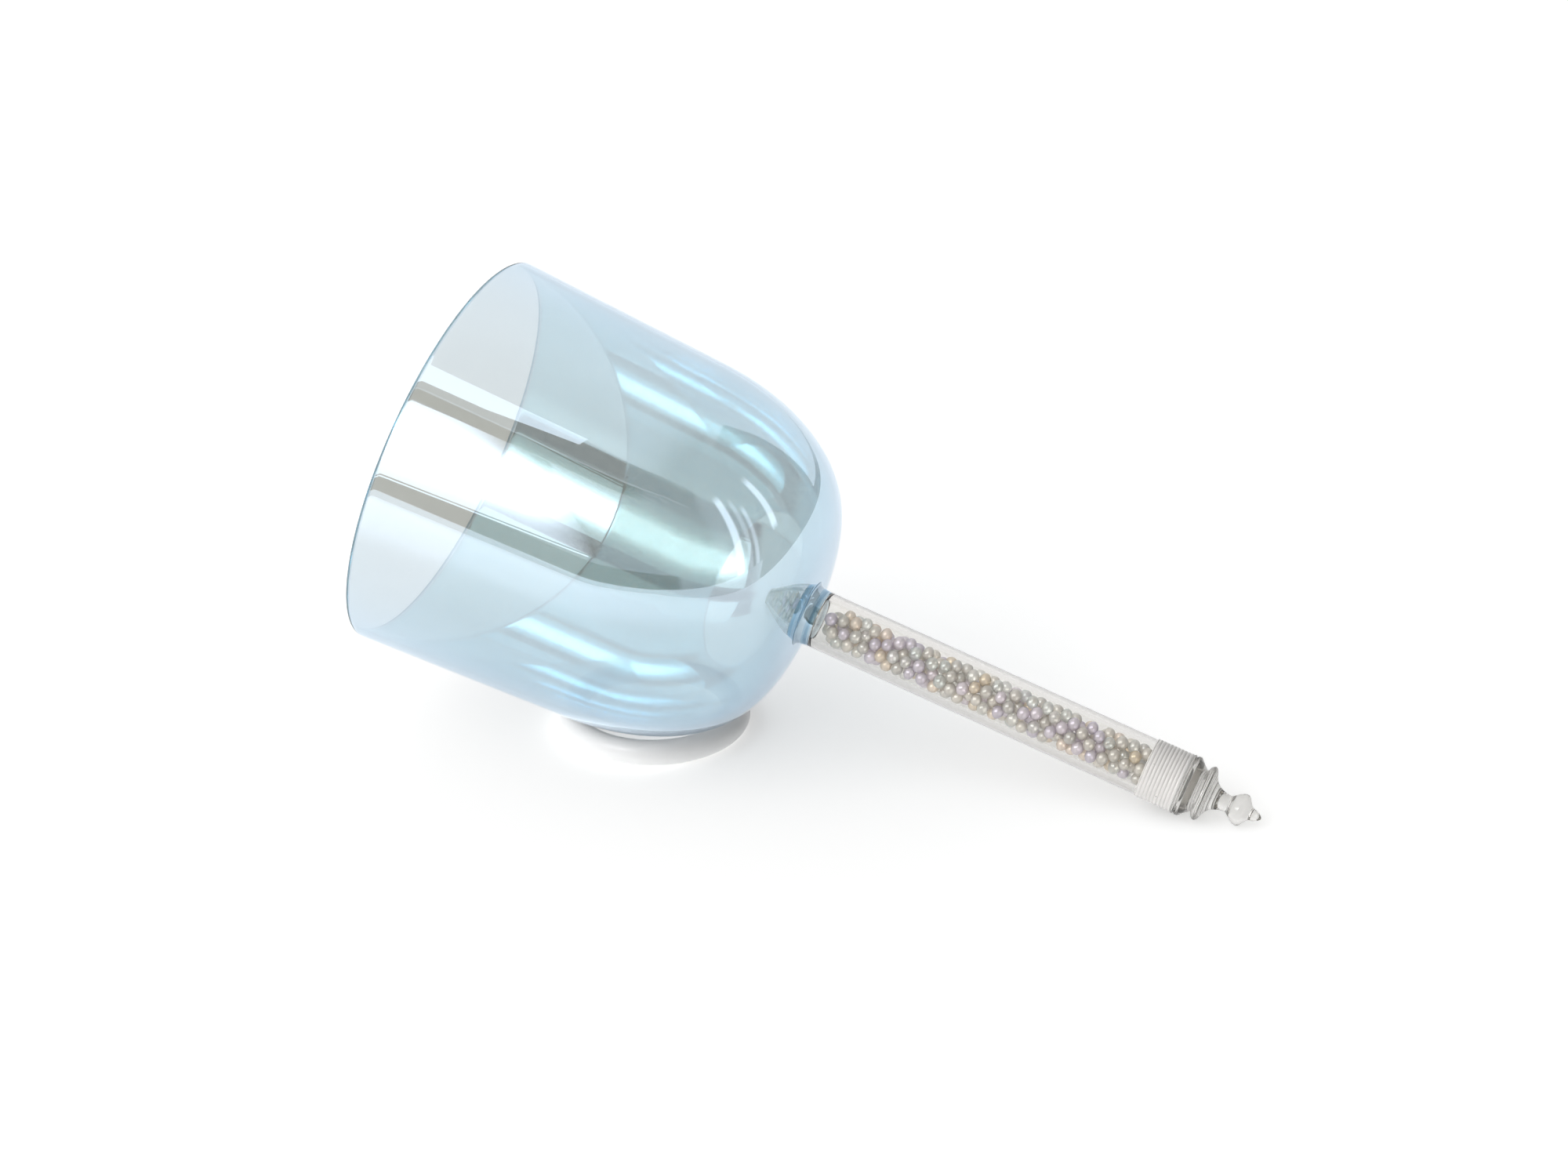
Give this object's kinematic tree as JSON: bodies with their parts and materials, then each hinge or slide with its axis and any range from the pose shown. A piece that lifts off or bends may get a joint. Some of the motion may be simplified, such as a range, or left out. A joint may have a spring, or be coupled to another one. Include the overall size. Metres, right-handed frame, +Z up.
{
  "type": "glass bell",
  "caption": "Hand-held glass singing bell with a flared coated shell, a bead-filled tube handle and a glass stopper, lying tilted on a soft rest ring.",
  "frame": {"origin": "centre of the footprint on the table: the middle of the overall length, on the plane the rest ring stands on", "axes": "+X along the handle toward the finial, seen from above; +Z up; the bell's axis lies in the XZ plane, mouth toward -X and up"},
  "size_m": [0.3376, 0.1522, 0.1732],
  "materials": {
    "coated_glass": "polished, thin metallic coating, pale blue in reflection",
    "clear_glass": "polished",
    "smoky_beads": "glossy, faint lustre",
    "lilac_beads": "glossy, faint lustre",
    "clear_beads": "glossy, faint lustre",
    "amber_beads": "glossy, faint lustre",
    "ribbed_sleeve": "translucent, frosted",
    "soft_ring": "translucent white, satin"
  },
  "bodies": {
    "rest": {"rest_ring": "soft_ring"},
    "bell": {"bell_shell": "coated_glass", "crown_button": "coated_glass", "neck_collar": "coated_glass", "handle_tube": "clear_glass", "beads_smoky": "smoky_beads", "beads_lilac": "lilac_beads", "beads_clear": "clear_beads", "beads_amber": "amber_beads"},
    "sleeve": {"stopper_sleeve": "ribbed_sleeve"},
    "finial": {"stopper_finial": "clear_glass"}
  },
  "joints": [
    {"name": "bell_lift", "type": "slide", "parent": "rest", "child": "bell", "axis": [0, 0, 1], "range_m": [0, 0.15]},
    {"name": "stopper_pull", "type": "slide", "parent": "bell", "child": "sleeve", "axis": [0.9558, 0, -0.294], "range_m": [0, 0.03]},
    {"name": "finial_turn", "type": "hinge", "parent": "sleeve", "child": "finial", "pos_m": [0.13944, 0, 0.01276], "axis": [0.9558, 0, -0.294], "continuous": true}
  ]
}
